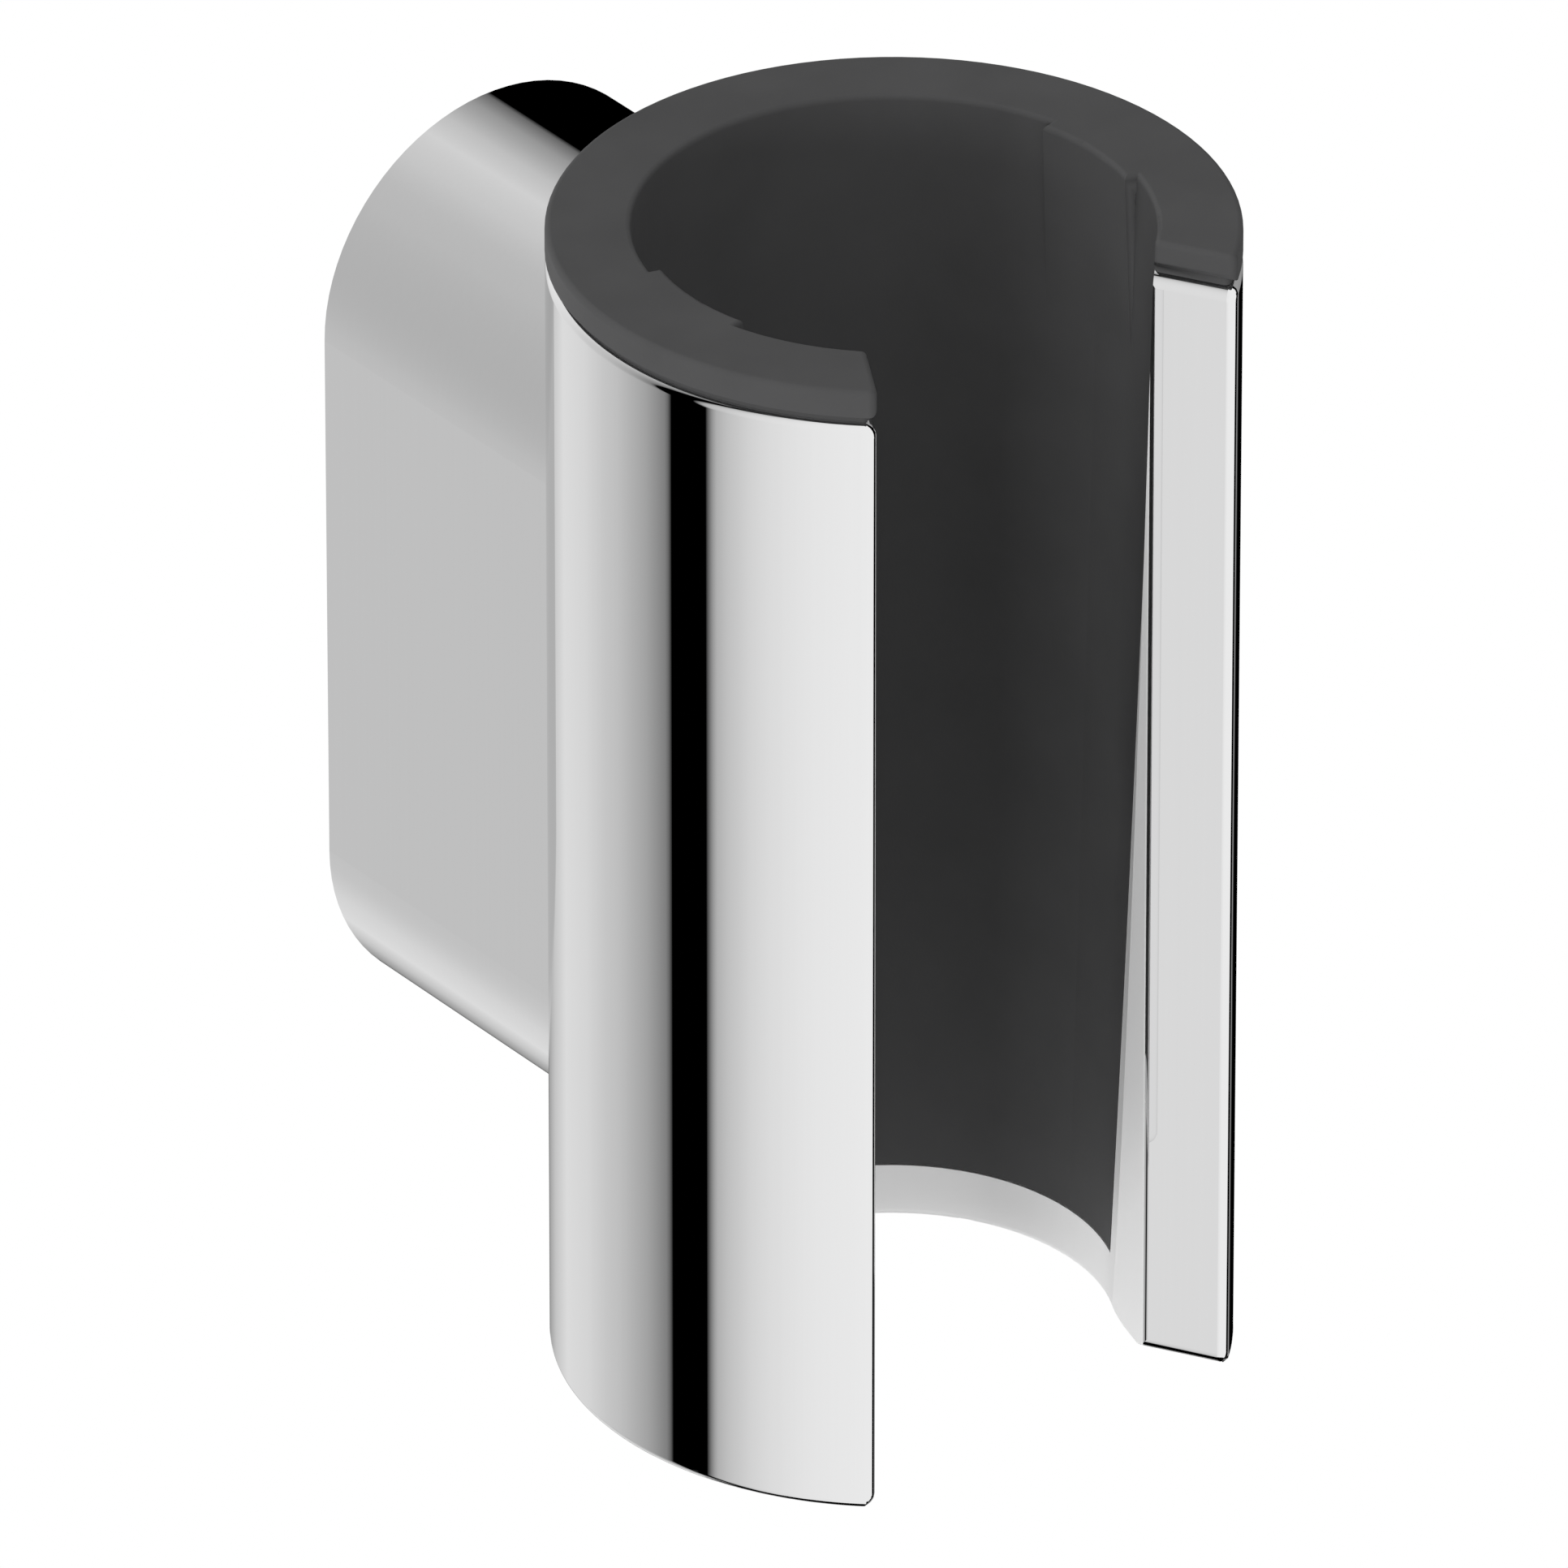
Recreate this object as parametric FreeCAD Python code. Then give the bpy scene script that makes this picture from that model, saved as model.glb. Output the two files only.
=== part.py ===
"""Wall holder for a hand shower.

A slotted upright sleeve stands off the wall on an arm of stadium section. A plastic liner with a
conical seat is pushed into the sleeve from above. The arm is hollow at the wall and slides over a
wall bracket, and a grub screw from below locks it there.

Millimetres, +Z up. The origin is on the wall, at the middle of the arm. The wall is the plane
y = 0, and the holder stands out along -Y with the slot of the sleeve facing away from the wall.
"""

import FreeCAD
import Part
import math
import os

from FreeCAD import Vector

# sleeve
sleeve_diameter = 32.0
sleeve_height = 57.6
sleeve_standoff = 30.4      # wall to the axis of the sleeve
sleeve_drop = 0.5           # middle of the sleeve below the middle of the arm
sleeve_lip_height = 2.75    # ledge inside the lower end that the liner stands over
edge_round = 0.4

# slot, which opens the sleeve and the liner away from the wall
mouth_width = 20.7          # across the outside of the sleeve
throat_width = 16.5         # at the narrowest, near the bore
throat_round = 0.5
slot_corner_round = 0.7     # ends of the slot faces, where they meet the sleeve's ends

# conical seat for the hose nut, measured at the top of the collar and at the foot of the sleeve
seat_top_diameter = 24.1
seat_foot_diameter = 21.0
throat_land = 1.4           # the throat corners stand this far outside the narrow end of the seat
throat_bite = 0.2           # the throat faces cut this far inside the narrow end of the seat

# liner
liner_wall = 1.5
liner_clearance = 0.1
liner_trim_top = 7.5        # front of the liner's wall, ahead of the axis, under the collar
liner_trim_foot = 4.1       # the same at the foot of the liner
collar_thickness = 1.35
collar_round = 0.28
collar_end_round = 0.35
collar_rim_round = 0.25
seat_ring_height = 0.4      # shadow step between the collar and the sleeve
seat_ring_inset = 0.35
seat_ring_end_round = 0.3
pad_height = 0.6
pad_length = 9.4
pad_angle = 31.0
pad_root = 0.5              # how deep the pad is rooted in the liner's wall

# arm
arm_width = 20.0
arm_height = 47.5
arm_side_wall = 2.2
arm_end_wall = 5.0
arm_pocket_depth = 12.0

# wall bracket
bracket_clearance = 0.2
bracket_thickness = 8.5
bracket_front_chamfer = 0.6
screw_spacing = 24.0
screw_hole_diameter = 4.5
screw_head_diameter = 8.6

# grub screw
grub_diameter = 5.0
grub_length = 6.0
grub_clearance = 0.05
grub_setback = 0.3          # how far the socket end sits up inside the underside of the arm
grub_wall_distance = 5.0
grub_point_diameter = 2.2
grub_point_length = 1.5
grub_socket_width = 2.5
grub_socket_depth = 2.2

overrun = 1.0               # length past a face, so that a cut runs clean through it
tolerance = 0.01            # for telling edges apart by where they lie

sleeve_radius = sleeve_diameter / 2
sleeve_top = sleeve_height / 2 - sleeve_drop
sleeve_foot = sleeve_top - sleeve_height
ledge_level = sleeve_foot + sleeve_lip_height
collar_bottom = sleeve_top + seat_ring_height
collar_top = collar_bottom + collar_thickness
axis = Vector(0, -sleeve_standoff, 0)
UP = Vector(0, 0, 1)


def seat_radius(level):
    """Radius of the conical seat at a height."""
    share = (level - sleeve_foot) / (collar_top - sleeve_foot)
    return (seat_foot_diameter + share * (seat_top_diameter - seat_foot_diameter)) / 2


def prism(points, low, high):
    """Upright prism over a plan outline given about the axis of the sleeve."""
    corners = [Vector(x, y, low) + axis for x, y in points]
    outline = Part.makePolygon(corners + corners[:1])
    return Part.Face(outline).extrude(Vector(0, 0, high - low))


def cone(low, high, growth=0.0):
    """Cone with the slope of the seat, wider than it by growth in radius."""
    foot = axis + Vector(0, 0, low)
    return Part.makeCone(seat_radius(low) + growth, seat_radius(high) + growth, high - low, foot, UP)


def cylinder(radius, low, high):
    """Upright cylinder on the axis of the sleeve."""
    return Part.makeCylinder(radius, high - low, axis + Vector(0, 0, low), UP)


def stadium(width, height, depth):
    """Stadium-section block that runs out from the wall."""
    radius = width / 2
    rise = height / 2 - radius
    left = Part.LineSegment(Vector(-radius, 0, -rise), Vector(-radius, 0, rise))
    top = Part.Arc(Vector(-radius, 0, rise), Vector(0, 0, rise + radius), Vector(radius, 0, rise))
    right = Part.LineSegment(Vector(radius, 0, rise), Vector(radius, 0, -rise))
    bottom = Part.Arc(Vector(radius, 0, -rise), Vector(0, 0, -rise - radius), Vector(-radius, 0, -rise))
    outline = Part.Wire([side.toShape() for side in (left, top, right, bottom)])
    return Part.Face(outline).extrude(Vector(0, -depth, 0))


def throat_corner(side):
    """Plan position, about the axis, of the narrowest point of the slot on one side."""
    reach = seat_foot_diameter / 2 + throat_land
    half = throat_width / 2
    return side * half, -math.sqrt(reach ** 2 - half ** 2)


def throat_start(side):
    """Plan position where a throat face comes nearest to the axis, just inside the seat."""
    near = seat_foot_diameter / 2 - throat_bite
    x, y = throat_corner(1)
    turn = math.atan2(x, -y) + math.acos(near / math.hypot(x, y))
    return side * near * math.sin(turn), -near * math.cos(turn)


def lip_line():
    """How far ahead of the axis the lips of the mouth lie, as a Y about the axis."""
    return -math.sqrt(sleeve_radius ** 2 - (mouth_width / 2) ** 2)


def mouth_corner(side):
    """Plan position, past the outside of the sleeve, on the line of a flared slot face."""
    x, y = throat_corner(1)
    slope = (mouth_width / 2 - x) / (y - lip_line())
    far_y = -sleeve_radius - overrun
    return side * (x + slope * (y - far_y)), far_y


def slot(low, high, widening=0.0):
    """Solid that fills the slot between its flared mouth and the seat."""
    right = [mouth_corner(1), throat_corner(1), throat_start(1)]
    wide = [(x + widening, y) for x, y in right]
    return prism(wide + [(-x, y) for x, y in reversed(wide)], low, high)


def slot_with_round_lips(low, high):
    """The same, hollowed along its narrowest lines, so that it leaves the lips of the throat round."""
    block = slot(low, high)
    corner_x, corner_y = throat_corner(1)
    lips = [edge for edge in block.Edges if is_upright(edge, corner_x, corner_y)]
    return block.makeFillet(throat_round, lips)


def slot_corner(side, end):
    """What rounds off a slot face where it meets an end of the sleeve: 1 is the top and -1 the foot."""
    outside = Vector(*mouth_corner(side), 0) + axis
    inside = Vector(*throat_corner(side), 0) + axis
    along = (inside - outside).normalize()
    into_wall = Vector(along.y * side, -along.x * side, 0)
    rim = sleeve_top if end > 0 else sleeve_foot
    start = Vector(outside.x, outside.y, rim)
    length = (inside - outside).Length + 2 * slot_corner_round

    def place(depth, drop):
        return start + into_wall * depth - UP * (end * drop)

    far = slot_corner_round
    near = -overrun
    square = [place(near, near), place(far, near), place(far, far), place(near, far)]
    block = Part.Face(Part.makePolygon(square + square[:1])).extrude(along * length)
    return block.cut(Part.makeCylinder(slot_corner_round, length, place(far, far), along))


def is_upright(edge, x, y):
    """True for a vertical edge at this distance either side of the slot's centre line."""
    ends = [vertex.Point - axis for vertex in edge.Vertexes]
    return len(ends) == 2 and all(math.hypot(abs(p.x) - x, p.y - y) < tolerance for p in ends)


def lies_between(edge, low, high):
    """True for an edge that stays between two heights."""
    box = edge.BoundBox
    return box.ZMin > low - tolerance and box.ZMax < high + tolerance


def radius_of(point):
    """Distance of a point from the axis of the sleeve."""
    return math.hypot(point.x - axis.x, point.y - axis.y)


def has_ends_at(edge, radius):
    """True for an edge that starts and ends at this distance from the axis of the sleeve."""
    return all(abs(radius_of(vertex.Point) - radius) < tolerance for vertex in edge.Vertexes)


def is_seam(edge, radius):
    """True for the line along a cylinder where its round face closes on itself."""
    return is_upright(edge, radius, 0)


def stands_on(edge, radius):
    """True for an edge that rises on a cylinder of this radius."""
    return edge.BoundBox.ZLength > tolerance and has_ends_at(edge, radius) and not is_seam(edge, radius)


def liner_wall_solid(growth=0.0):
    """Tapered wall of the liner, filled, and cut off at the front by a sloping plane."""
    low = ledge_level + liner_clearance - growth
    high = collar_bottom
    filled = cone(low, high, liner_wall + growth)
    lean = (liner_trim_top - liner_trim_foot) / (sleeve_top - ledge_level)
    far = sleeve_radius + overrun

    def front(level):
        return -liner_trim_foot - lean * (level - ledge_level) - growth

    side = [(front(low), low), (far, low), (far, high), (front(high), high)]
    corners = [Vector(-far, y, z) + axis for y, z in side]
    keep = Part.Face(Part.makePolygon(corners + corners[:1])).extrude(Vector(2 * far, 0, 0))
    return filled.common(keep)


def make_seat_pad(side):
    """Shallow wedge on the seat under the collar, which fades into the seat further down."""
    foot = collar_top - pad_length
    back_radius = seat_radius(collar_top) + pad_root
    profile = [
        Vector(seat_radius(collar_top) - pad_height, 0, collar_top),
        Vector(seat_radius(foot), 0, foot),
        Vector(seat_radius(foot) + pad_root, 0, foot),
        Vector(back_radius, 0, collar_top),
    ]
    section = Part.Face(Part.makePolygon(profile + profile[:1]))
    section.rotate(Vector(0, 0, 0), UP, -pad_angle / 2)
    pad = section.revolve(Vector(0, 0, 0), UP, pad_angle)
    if side < 0:
        pad.rotate(Vector(0, 0, 0), UP, 180)
    pad.translate(axis)
    top = [
        edge for edge in pad.Edges
        if lies_between(edge, collar_top, collar_top) and not has_ends_at(edge, back_radius)
    ]
    return pad.makeFillet(collar_rim_round, top)


def make_collar():
    """Flat collar with a rounded outer edge, open at the slot."""
    ring = cylinder(sleeve_radius, collar_bottom, collar_top)
    ring = ring.cut(slot(collar_bottom - overrun, collar_top + overrun))
    ring = ring.cut(cone(collar_bottom - overrun, collar_top + overrun))
    ends = [edge for edge in ring.Edges if stands_on(edge, sleeve_radius)]
    ends += [
        edge for edge in ring.Edges
        if lies_between(edge, collar_bottom, collar_bottom)
        and not has_ends_at(edge, sleeve_radius)
        and not has_ends_at(edge, seat_radius(collar_bottom))
    ]
    ring = ring.makeFillet(collar_end_round, ends)
    rim = [
        edge for edge in ring.Edges
        if lies_between(edge, collar_top, collar_top)
        and all(radius_of(vertex.Point) > sleeve_radius - 2 * collar_end_round for vertex in edge.Vertexes)
    ]
    ring = ring.makeFillet(collar_round, rim)
    inner = [
        edge for edge in ring.Edges
        if lies_between(edge, collar_top, collar_top)
        and all(radius_of(vertex.Point) < seat_radius(collar_top) + tolerance for vertex in edge.Vertexes)
    ]
    return ring.makeFillet(collar_rim_round, inner)


def make_liner():
    """Plastic liner: collar, shadow step, tapered wall and the two pads on the seat."""
    step_radius = sleeve_radius - seat_ring_inset
    step = cylinder(step_radius, sleeve_top, collar_bottom)
    step = step.cut(slot(sleeve_top - overrun, collar_bottom + overrun, seat_ring_inset))
    ends = [edge for edge in step.Edges if stands_on(edge, step_radius)]
    step = step.makeFillet(seat_ring_end_round, ends)
    wall = liner_wall_solid()
    low = sleeve_foot - overrun
    high = collar_bottom + overrun
    wall = wall.cut(slot_with_round_lips(low, high))
    body = step.fuse(wall).cut(cone(low, high))
    body = body.fuse(make_collar())
    for side in (-1, 1):
        body = body.fuse(make_seat_pad(side))
    return body.removeSplitter()


def make_sleeve():
    """Slotted sleeve, rounded round its outside and at the foot of its seat."""
    sleeve = cylinder(sleeve_radius, sleeve_foot, sleeve_top)
    sleeve = sleeve.cut(slot_with_round_lips(sleeve_foot - overrun, sleeve_top + overrun))
    sleeve = sleeve.cut(cone(sleeve_foot - overrun, sleeve_top + overrun))
    for side in (-1, 1):
        for end in (-1, 1):
            sleeve = sleeve.cut(slot_corner(side, end))
    outside = [
        edge for edge in sleeve.Edges
        if has_ends_at(edge, sleeve_radius) and not is_seam(edge, sleeve_radius)
    ]
    sleeve = sleeve.makeFillet(edge_round, outside)
    bore_foot = [
        edge for edge in sleeve.Edges
        if lies_between(edge, sleeve_foot, sleeve_foot) and has_ends_at(edge, seat_foot_diameter / 2)
    ]
    return sleeve.makeFillet(edge_round, bore_foot)


def make_holder_body():
    """One casting: the slotted sleeve and the arm, hollow at the wall."""
    arm = stadium(arm_width, arm_height, sleeve_standoff)
    arm = arm.cut(cylinder(sleeve_radius - edge_round, sleeve_foot, sleeve_top))
    body = make_sleeve().fuse(arm)
    body = body.cut(liner_wall_solid(liner_clearance))
    body = body.cut(stadium(arm_width - 2 * arm_side_wall, arm_height - 2 * arm_end_wall, arm_pocket_depth))
    hole = Part.makeCylinder(
        grub_diameter / 2 + grub_clearance,
        arm_end_wall + 2 * overrun,
        Vector(0, -grub_wall_distance, -arm_height / 2 - overrun),
        UP,
    )
    return body.cut(hole).removeSplitter()


def make_wall_bracket():
    """Block that is screwed to the wall and fills the mouth of the arm's pocket."""
    width = arm_width - 2 * (arm_side_wall + bracket_clearance)
    height = arm_height - 2 * (arm_end_wall + bracket_clearance)
    block = stadium(width, height, bracket_thickness)
    front = [edge for edge in block.Edges if edge.BoundBox.YMax < -bracket_thickness + tolerance]
    block = block.makeChamfer(bracket_front_chamfer, front)
    out = Vector(0, -1, 0)
    hole_radius = screw_hole_diameter / 2
    head_radius = screw_head_diameter / 2
    sink = head_radius - hole_radius
    for side in (-1, 1):
        centre = Vector(0, overrun, side * screw_spacing / 2)
        block = block.cut(Part.makeCylinder(hole_radius, bracket_thickness + 2 * overrun, centre, out))
        seat = Vector(0, -bracket_thickness + sink, side * screw_spacing / 2)
        block = block.cut(Part.makeCone(hole_radius, head_radius, sink, seat, out))
    return block.cut(grub_screw_blank(grub_clearance))


def grub_screw_blank(growth=0.0):
    """Grub screw without its socket, larger than the real one by growth all round."""
    foot = Vector(0, -grub_wall_distance, -arm_height / 2 + grub_setback)
    shank = grub_length - grub_point_length
    radius = grub_diameter / 2 + growth
    straight = Part.makeCylinder(radius, shank, foot, UP)
    tip_radius = grub_point_diameter / 2 + growth
    point = Part.makeCone(radius, tip_radius, grub_point_length + growth, foot + UP * shank, UP)
    return straight.fuse(point)


def make_grub_screw():
    """Socket grub screw with a flattened cone point."""
    foot = Vector(0, -grub_wall_distance, -arm_height / 2 + grub_setback)
    reach = grub_socket_width / math.sqrt(3)
    corners = [
        foot + Vector(reach * math.cos(math.radians(turn)), reach * math.sin(math.radians(turn)), 0)
        for turn in range(0, 360, 60)
    ]
    socket = Part.Face(Part.makePolygon(corners + corners[:1])).extrude(UP * grub_socket_depth)
    return grub_screw_blank().cut(socket).removeSplitter()


nodes = {
    "holder_body": make_holder_body(),
    "liner": make_liner(),
    "wall_bracket": make_wall_bracket(),
    "grub_screw": make_grub_screw(),
}

os.makedirs("parts", exist_ok=True)
for name, shape in nodes.items():
    shape.exportStep("parts/" + name + ".step")
    print(name, len(shape.Solids), shape.isValid(), round(shape.Volume, 1), shape.BoundBox)
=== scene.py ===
"""Wall holder for a hand shower, dressed and lit for its picture. Metres, +Z up, the wall at y = 0."""

import math

import bmesh
import bpy
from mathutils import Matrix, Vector


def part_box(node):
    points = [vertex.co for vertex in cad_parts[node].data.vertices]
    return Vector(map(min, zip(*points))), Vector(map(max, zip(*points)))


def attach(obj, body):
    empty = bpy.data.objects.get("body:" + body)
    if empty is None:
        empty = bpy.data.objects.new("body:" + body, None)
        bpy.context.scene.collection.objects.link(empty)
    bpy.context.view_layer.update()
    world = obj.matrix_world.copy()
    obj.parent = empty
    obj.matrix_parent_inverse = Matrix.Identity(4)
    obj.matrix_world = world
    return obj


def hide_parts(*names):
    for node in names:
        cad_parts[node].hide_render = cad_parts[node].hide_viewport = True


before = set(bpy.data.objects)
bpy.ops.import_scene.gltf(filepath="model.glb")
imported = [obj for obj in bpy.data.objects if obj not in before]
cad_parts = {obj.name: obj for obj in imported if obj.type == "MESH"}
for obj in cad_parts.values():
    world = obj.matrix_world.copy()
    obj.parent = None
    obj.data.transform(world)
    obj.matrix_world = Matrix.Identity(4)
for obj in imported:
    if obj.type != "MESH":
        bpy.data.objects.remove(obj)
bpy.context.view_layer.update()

# Holder body
# One casting, the slotted sleeve with the arm that carries it. It is polished and chrome plated
# outside, with the faintest upright buffing lines, while the bore is left matt where no wheel
# reaches. The rounds on the sleeve's rims are cut finer, so that they reflect cleanly.
chrome_light = (0.822, 0.822, 0.824, 1.0)
chrome_dark = (0.814, 0.814, 0.816, 1.0)
chrome_edge = (0.77, 0.77, 0.77, 1.0)       # what is left of its reflection at a glancing angle
chrome_roughness = (0.008, 0.014)
buffing_size = (0.00025, 0.00025, 0.08)     # the lines are fine across and long upwards
noise_detail = 3.0
noise_span = (0.25, 0.75)                   # nearly all of a noise's values lie between these
bore_colour = (0.9, 0.9, 0.9, 1.0)
bore_metal = 0.1
bore_roughness = 0.42
bore_radius = 0.01187
sleeve_axis_y = -0.0304
sleeve_radius = 0.016
rim_round = 0.0004
rim_cuts = 2                                # how often each facet's edge on a rim's round is cut
rim_slack = 0.00006                         # how far a new corner may lie from the true round
same_place = 0.0000001                      # corners this near each other are one
nearly = 0.000003                           # a corner this near the true round is on it


def object_coordinates(tree, factors, moved=(0, 0, 0)):
    """Object coordinates, multiplied along X, Y and Z and then moved."""
    place = tree.nodes.new("ShaderNodeTexCoord")
    mapping = tree.nodes.new("ShaderNodeMapping")
    mapping.inputs["Location"].default_value = moved
    mapping.inputs["Scale"].default_value = factors
    tree.links.new(place.outputs["Object"], mapping.inputs["Vector"])
    return mapping.outputs["Vector"]


def pattern_space(tree, sizes):
    """The space in which a pattern has its real sizes in metres along X, Y and Z."""
    return object_coordinates(tree, [1 / size for size in sizes])


def noise_between(tree, space, low, high):
    """Noise whose value runs between low and high."""
    noise = tree.nodes.new("ShaderNodeTexNoise")
    noise.inputs["Scale"].default_value = 1.0
    noise.inputs["Detail"].default_value = noise_detail
    spread = tree.nodes.new("ShaderNodeMapRange")
    spread.inputs["From Min"].default_value = noise_span[0]
    spread.inputs["From Max"].default_value = noise_span[1]
    spread.inputs["To Min"].default_value = low
    spread.inputs["To Max"].default_value = high
    tree.links.new(space, noise.inputs["Vector"])
    tree.links.new(noise.outputs["Fac"], spread.inputs["Value"])
    return spread.outputs["Result"]


def feed(tree, socket, value):
    """Gives a socket a value, which may be a number, a colour or what comes out of another node."""
    if isinstance(value, bpy.types.NodeSocket):
        tree.links.new(value, socket)
    else:
        socket.default_value = value


def blend_of(tree, kind, factor, first, second):
    """Goes from the first value to the second by a factor, for colours (RGBA) or numbers (FLOAT)."""
    mix = tree.nodes.new("ShaderNodeMix")
    mix.data_type = kind
    tree.links.new(factor, mix.inputs["Factor"])
    sockets = [socket for socket in mix.inputs if socket.enabled and socket.name in ("A", "B")]
    for socket, value in zip(sockets, (first, second)):
        feed(tree, socket, value)
    return [socket for socket in mix.outputs if socket.enabled][0]


def worked_out(tree, operation, first, second=0.0):
    """The result of one operation on two values."""
    node = tree.nodes.new("ShaderNodeMath")
    node.operation = operation
    for socket, value in zip(node.inputs, (first, second)):
        feed(tree, socket, value)
    return node.outputs["Value"]


def new_finish(name):
    """A material with its node tree and its shader."""
    material = bpy.data.materials.new(name)
    material.use_nodes = True
    tree = material.node_tree
    return material, tree, tree.nodes["Principled BSDF"]


def merged_copy(mesh):
    """A copy of a part's mesh with its doubles merged, and the layer that keeps its true normals."""
    facing = [corner.vector.copy() for corner in mesh.corner_normals]
    shape = bmesh.new()
    shape.from_mesh(mesh)
    kept = shape.loops.layers.float_vector.new("kept_normal")
    for face, polygon in zip(shape.faces, mesh.polygons):
        for loop, index in zip(face.loops, polygon.loop_indices):
            loop[kept] = facing[index]
    bmesh.ops.remove_doubles(shape, verts=shape.verts, dist=same_place)
    return shape, kept


def piece_from_copy(shape, kept, name, material, node):
    """The piece that a merged copy becomes, which stands for its node."""
    facing = [loop[kept].normalized() for face in shape.faces for loop in face.loops]
    shape.loops.layers.float_vector.remove(kept)
    mesh = bpy.data.meshes.new(name)
    shape.to_mesh(mesh)
    shape.free()
    mesh.normals_split_custom_set(facing)
    mesh.materials.append(material)
    piece = bpy.data.objects.new(name, mesh)
    bpy.context.scene.collection.objects.link(piece)
    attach(piece, "root")
    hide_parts(node)
    return piece


def off_axis(point):
    """How far a point lies from the sleeve's axis, as a level vector."""
    return Vector((point.x, point.y - sleeve_axis_y, 0))


def off_rim(point, middle):
    """How far a point lies from the line that a rim's round is struck from, outwards and upwards."""
    return Vector((off_axis(point).length - sleeve_radius + rim_round, point.z - middle))


def on_rim(corner, middle, end, slack):
    """True for a corner on the round of a rim, where end is 1 at the top and -1 at the foot."""
    reach = off_rim(corner.co, middle)
    return abs(reach.length - rim_round) < slack and reach.x > -slack and reach.y * end > -nearly


chrome, tree, shader = new_finish("polished_chrome")
shader.inputs["Specular Tint"].default_value = chrome_edge
buffing = pattern_space(tree, buffing_size)
buffed = blend_of(tree, "RGBA", noise_between(tree, buffing, 0.0, 1.0), chrome_dark, chrome_light)
polish = noise_between(tree, buffing, *chrome_roughness)

# Nearer to the sleeve's axis than the bore's radius, the finish turns from chrome to matt.
from_axis = tree.nodes.new("ShaderNodeVectorMath")
from_axis.operation = "LENGTH"
tree.links.new(object_coordinates(tree, (1, 1, 0), (0, -sleeve_axis_y, 0)), from_axis.inputs[0])
in_bore = worked_out(tree, "LESS_THAN", from_axis.outputs["Value"], bore_radius)
tree.links.new(blend_of(tree, "RGBA", in_bore, buffed, bore_colour), shader.inputs["Base Color"])
tree.links.new(blend_of(tree, "FLOAT", in_bore, 1.0, bore_metal), shader.inputs["Metallic"])
tree.links.new(blend_of(tree, "FLOAT", in_bore, polish, bore_roughness), shader.inputs["Roughness"])

# Each rim's edges are cut, the new corners are set on the true round, and the normals follow it.
sleeve_foot, sleeve_top = (corner.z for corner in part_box("holder_body"))
shape, kept = merged_copy(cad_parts["holder_body"].data)
for middle, end in ((sleeve_top - rim_round, 1), (sleeve_foot + rim_round, -1)):
    rim_edges = [
        edge for edge in shape.edges
        if all(on_rim(corner, middle, end, nearly) for corner in edge.verts)
    ]
    bmesh.ops.subdivide_edges(shape, edges=rim_edges, cuts=rim_cuts, use_grid_fill=True)
    for corner in shape.verts:
        if on_rim(corner, middle, end, rim_slack):
            reach = off_rim(corner.co, middle)
            reach.x = max(reach.x, 0)
            reach.normalize()
            outwards = (sleeve_radius - rim_round + rim_round * reach.x) * off_axis(corner.co).normalized()
            corner.co = (outwards.x, sleeve_axis_y + outwards.y, middle + rim_round * reach.y)
    for face in shape.faces:
        if all(on_rim(corner, middle, end, nearly) for corner in face.verts):
            for loop in face.loops:
                reach = off_rim(loop.vert.co, middle).normalized()
                outwards = off_axis(loop.vert.co).normalized()
                loop[kept] = Vector((reach.x * outwards.x, reach.x * outwards.y, reach.y))
body = piece_from_copy(shape, kept, "holder_casting", chrome, "holder_body")

# Liner
# A dark grey plastic moulding, pushed down into the sleeve. Its collar lies on the sleeve's top
# over a thin shadow step, and the fine satin of the mould shows on the collar and in the seat.
# The seat runs smoothly up into the collar, so the hairline under the collar's rim is closed.
liner_dark = (0.066, 0.066, 0.067, 1.0)
liner_light = (0.074, 0.074, 0.075, 1.0)
liner_roughness = (0.5, 0.6)
liner_gloss = 0.08
cloud_size = 0.004
grain_size = 0.00012
grain_depth = 0.000003
seat_foot_radius = 0.0105                   # of the seat's cone at the foot of the sleeve
seat_top_radius = 0.01205                   # and at the top of the collar
hairline_foot = 0.02869
hairline_top = 0.02897
hairline_depth = 0.0004


def bump(tree, shader, height, depth):
    """Relief of a real depth in metres on a shader."""
    relief = tree.nodes.new("ShaderNodeBump")
    relief.inputs["Strength"].default_value = 1.0
    relief.inputs["Distance"].default_value = depth
    tree.links.new(height, relief.inputs["Height"])
    tree.links.new(relief.outputs["Normal"], shader.inputs["Normal"])


plastic, tree, shader = new_finish("satin_dark_plastic")
shader.inputs["Specular IOR Level"].default_value = liner_gloss
clouds = pattern_space(tree, (cloud_size,) * 3)
tint = blend_of(tree, "RGBA", noise_between(tree, clouds, 0.0, 1.0), liner_dark, liner_light)
tree.links.new(tint, shader.inputs["Base Color"])
tree.links.new(noise_between(tree, clouds, *liner_roughness), shader.inputs["Roughness"])
grain = pattern_space(tree, (grain_size,) * 3)
bump(tree, shader, noise_between(tree, grain, 0.0, 1.0), grain_depth)

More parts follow.
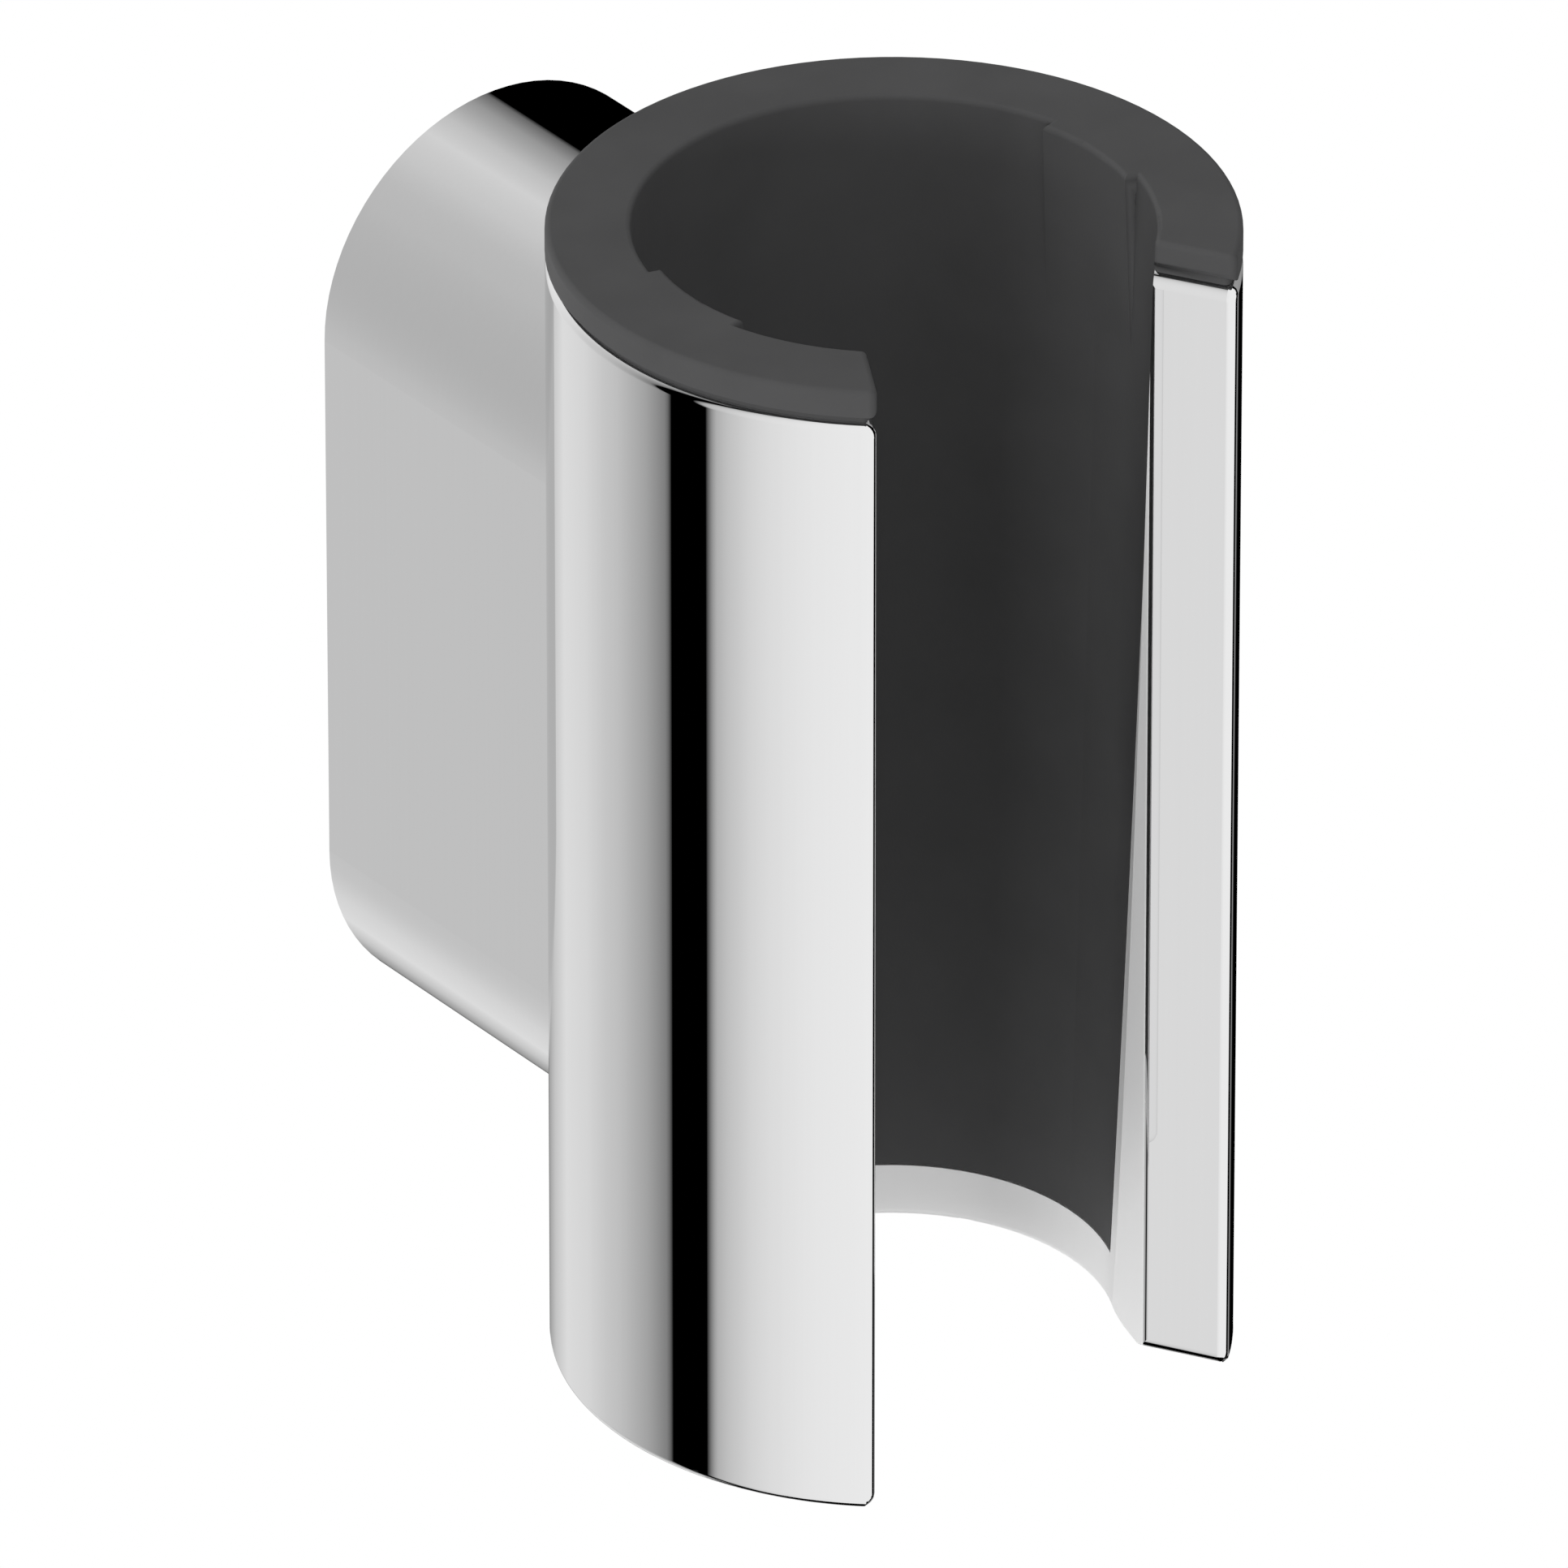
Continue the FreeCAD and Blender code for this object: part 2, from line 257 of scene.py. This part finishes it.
# The hairline's corners are set flush with the seat's cone, and turned to face as it does.
collar_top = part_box("liner")[1].z
seat_slope = (seat_top_radius - seat_foot_radius) / (collar_top - sleeve_foot)
shape, kept = merged_copy(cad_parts["liner"].data)
for corner in shape.verts:
    reach = off_axis(corner.co)
    seat_radius = seat_foot_radius + seat_slope * (corner.co.z - sleeve_foot)
    at_its_height = hairline_foot < corner.co.z < hairline_top
    if at_its_height and -same_place < reach.length - seat_radius < hairline_depth:
        inwards = -reach.normalized()
        corner.co = (-seat_radius * inwards.x, sleeve_axis_y - seat_radius * inwards.y, corner.co.z)
        for loop in corner.link_loops:
            loop[kept] = (inwards + Vector((0, 0, seat_slope))).normalized()
liner = piece_from_copy(shape, kept, "liner_moulding", plastic, "liner")

# Wall bracket
# A small die casting behind the arm, screwed to the wall. It is left as it came from the die,
# with the dull, slightly cloudy skin of cast aluminium.
cast_dark = (0.52, 0.52, 0.53, 1.0)
cast_light = (0.66, 0.66, 0.67, 1.0)
cast_roughness = (0.38, 0.55)
skin_size = 0.0015
skin_depth = 0.00003

casting, tree, shader = new_finish("cast_aluminium")
shader.inputs["Metallic"].default_value = 1.0
skin = pattern_space(tree, (skin_size,) * 3)
tint = blend_of(tree, "RGBA", noise_between(tree, skin, 0.0, 1.0), cast_dark, cast_light)
tree.links.new(tint, shader.inputs["Base Color"])
tree.links.new(noise_between(tree, skin, *cast_roughness), shader.inputs["Roughness"])
bump(tree, shader, noise_between(tree, skin, 0.0, 1.0), skin_depth)
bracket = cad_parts["wall_bracket"]
bracket.material_slots[0].material = casting

# Grub screw
# A turned steel set screw in the underside of the arm, driven by a hexagon key. The turning
# marks run round it, so they are fine rings one above the other.
steel_colour = (0.56, 0.57, 0.58, 1.0)
steel_roughness = (0.2, 0.34)
ring_size = (0.02, 0.02, 0.00006)           # wider than the screw, and fine upwards
ring_depth = 0.000003

steel, tree, shader = new_finish("turned_steel")
shader.inputs["Base Color"].default_value = steel_colour
shader.inputs["Metallic"].default_value = 1.0
rings = pattern_space(tree, ring_size)
tree.links.new(noise_between(tree, rings, *steel_roughness), shader.inputs["Roughness"])
bump(tree, shader, noise_between(tree, rings, 0.0, 1.0), ring_depth)
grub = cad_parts["grub_screw"]
grub.material_slots[0].material = steel

# Floor
# A wide pale floor well below the holder, which hangs clear of it as it does on a wall. It is
# white to the camera, like the paper of a catalogue picture, and the chrome looks past it.
floor_drop = 0.45
floor_size = 8.0
floor_colour = (0.8, 0.8, 0.8, 1.0)
floor_roughness = 0.8

mesh = bpy.data.meshes.new("floor")
sheet = bmesh.new()
bmesh.ops.create_grid(sheet, x_segments=1, y_segments=1, size=floor_size / 2)
bmesh.ops.translate(sheet, verts=sheet.verts, vec=(0, 0, -floor_drop))
sheet.to_mesh(mesh)
sheet.free()
floor = bpy.data.objects.new("floor", mesh)
bpy.context.scene.collection.objects.link(floor)
floor.visible_glossy = False
paper, tree, shader = new_finish("white_paper")
shader.inputs["Base Color"].default_value = floor_colour
shader.inputs["Roughness"].default_value = floor_roughness
rays = tree.nodes.new("ShaderNodeLightPath")
white = tree.nodes.new("ShaderNodeEmission")
white.inputs["Strength"].default_value = 1.0
seen = tree.nodes.new("ShaderNodeMixShader")
tree.links.new(rays.outputs["Is Camera Ray"], seen.inputs["Fac"])
tree.links.new(shader.outputs["BSDF"], seen.inputs[1])
tree.links.new(white.outputs["Emission"], seen.inputs[2])
tree.links.new(seen.outputs["Shader"], tree.nodes["Material Output"].inputs["Surface"])
mesh.materials.append(paper)

# Studio
# A round white studio with crisp dark cards at the left, at the right and behind, which the chrome
# shows as its black lines. Plain surfaces are lit softly from above and behind, and by one low lamp
# at the left that shines into the slot.
# Degrees round the holder, 0 in front of it and 90 at its right, and how light the wall is there.
wall_light = [
    (-180, 1.0),
    (-162, 0.86),
    (-150, 0.71),
    (-142, 0.64),
    (-128, 0.44),
    (-118.5, 0.24),
    (-117.3, 0.0),
    (-102.5, 0.0),
    (-100.6, 0.31),
    (-98.7, 0.52),
    (-95, 0.63),
    (-91, 0.7),
    (-86, 0.785),
    (-80, 0.855),
    (-72, 0.91),
    (-64, 0.955),
    (-45, 1.0),
    (48, 1.0),
    (50, 0.0),
    (91, 0.0),
    (93, 0.38),
    (122, 0.38),
    (124, 0.0),
    (145, 0.0),
    (146, 0.19),
    (152, 0.455),
    (157, 0.575),
    (166, 0.81),
    (180, 1.0),
]
ceiling_fall = 0.45                         # how much darker the back of the room gets upwards
ceiling_from = 2.0                          # how soon that begins towards the back
hole_below = -0.883                         # sine of the steepest angle with light from below
soft_light_from = (-0.3, 0.7, 0.65)
soft_light_level = (0.05, 1.35)             # on what faces away from it, and towards it
lamp_bearing = math.radians(-58)
lamp_height = math.radians(2)
lamp_distance = 0.6
lamp_size = 0.17
lamp_power = 1.4


def direction_of(bearing, height):
    """The direction at an angle round the holder, 0 in front of it, and an angle above the level."""
    return Vector((
        math.sin(bearing) * math.cos(height),
        -math.cos(bearing) * math.cos(height),
        math.sin(height),
    ))


def stand_off(thing, point, direction, distance):
    """Puts a lamp or a camera at a distance from a point, and turns it to face the point."""
    thing.location = point + distance * direction
    thing.rotation_mode = "QUATERNION"
    thing.rotation_quaternion = (-direction).to_track_quat("-Z", "Y")


world = bpy.data.worlds.new("studio")
bpy.context.scene.world = world
world.use_nodes = True
tree = world.node_tree

# How light the wall is in a direction goes by that direction's angle round the holder.
looking = tree.nodes.new("ShaderNodeTexCoord")
split = tree.nodes.new("ShaderNodeSeparateXYZ")
tree.links.new(looking.outputs["Generated"], split.inputs["Vector"])
across, away, above = split.outputs
bearing = worked_out(tree, "ARCTAN2", across, worked_out(tree, "MULTIPLY", away, -1.0))
turn = tree.nodes.new("ShaderNodeMapRange")
turn.inputs["From Min"].default_value = -math.pi
turn.inputs["From Max"].default_value = math.pi
tree.links.new(bearing, turn.inputs["Value"])
wall = tree.nodes.new("ShaderNodeValToRGB")
stops = wall.color_ramp.elements
for degrees, level in wall_light[1:-1]:
    stops.new((degrees + 180) / 360)
for stop, (degrees, level) in zip(stops, wall_light):
    stop.color = (level, level, level, 1.0)
tree.links.new(turn.outputs["Result"], wall.inputs["Fac"])

# The back of the room gets darker upwards, and no light comes from steeply below.
height = worked_out(tree, "MAXIMUM", above, 0.0)
height = worked_out(tree, "MULTIPLY", height, height)
behind = worked_out(tree, "MAXIMUM", worked_out(tree, "MULTIPLY", away, ceiling_from), 0.0)
behind = worked_out(tree, "MINIMUM", behind, 1.0)
fall = worked_out(tree, "MULTIPLY", worked_out(tree, "MULTIPLY", height, behind), ceiling_fall)
room = worked_out(tree, "MULTIPLY", wall.outputs["Color"], worked_out(tree, "SUBTRACT", 1.0, fall))
room = worked_out(tree, "MULTIPLY", room, worked_out(tree, "GREATER_THAN", above, hole_below))

# Plain surfaces get a soft light in place of the room, and the camera sees plain white.
facing_light = tree.nodes.new("ShaderNodeVectorMath")
facing_light.operation = "DOT_PRODUCT"
facing_light.inputs[1].default_value = Vector(soft_light_from).normalized()
tree.links.new(looking.outputs["Generated"], facing_light.inputs[0])
soft = tree.nodes.new("ShaderNodeMapRange")
soft.inputs["From Min"].default_value = -1.0
soft.inputs["From Max"].default_value = 1.0
soft.inputs["To Min"].default_value = soft_light_level[0]
soft.inputs["To Max"].default_value = soft_light_level[1]
tree.links.new(facing_light.outputs["Value"], soft.inputs["Value"])
rays = tree.nodes.new("ShaderNodeLightPath")
lit = blend_of(tree, "FLOAT", rays.outputs["Is Diffuse Ray"], room, soft.outputs["Result"])
shown = blend_of(tree, "FLOAT", rays.outputs["Is Camera Ray"], lit, 1.0)
background = tree.nodes["Background"]
background.inputs["Strength"].default_value = 1.0
tree.links.new(shown, background.inputs["Color"])

# The low lamp at the left is seen neither by the camera nor in the chrome.
lamp_data = bpy.data.lights.new("side_lamp", "AREA")
lamp_data.energy = lamp_power
lamp_data.size = lamp_size
lamp = bpy.data.objects.new("side_lamp", lamp_data)
bpy.context.scene.collection.objects.link(lamp)
stand_off(lamp, Vector((0, sleeve_axis_y, 0)), direction_of(lamp_bearing, lamp_height), lamp_distance)
lamp.visible_camera = False
lamp.visible_glossy = False
bpy.context.scene.view_settings.view_transform = "Standard"

# Camera
# A long lens from the left and above, as in the photograph, with the holder a little right of
# the middle of the frame.
camera_azimuth = math.radians(-37.53)
camera_elevation = math.radians(30.08)
camera_distance = 1.3
camera_lens = 645.8                         # in millimetres, as the sensor is
camera_sensor = 36.0
camera_nearest = 0.01
camera_furthest = 20.0
aim = Vector((-0.00524, -0.02896, 0.00151))  # what the middle of the frame shows

camera_data = bpy.data.cameras.new("camera")
camera_data.sensor_width = camera_sensor
camera_data.lens = camera_lens
camera_data.clip_start = camera_nearest
camera_data.clip_end = camera_furthest
camera = bpy.data.objects.new("camera", camera_data)
bpy.context.scene.collection.objects.link(camera)
stand_off(camera, aim, direction_of(camera_azimuth, camera_elevation), camera_distance)
bpy.context.scene.camera = camera
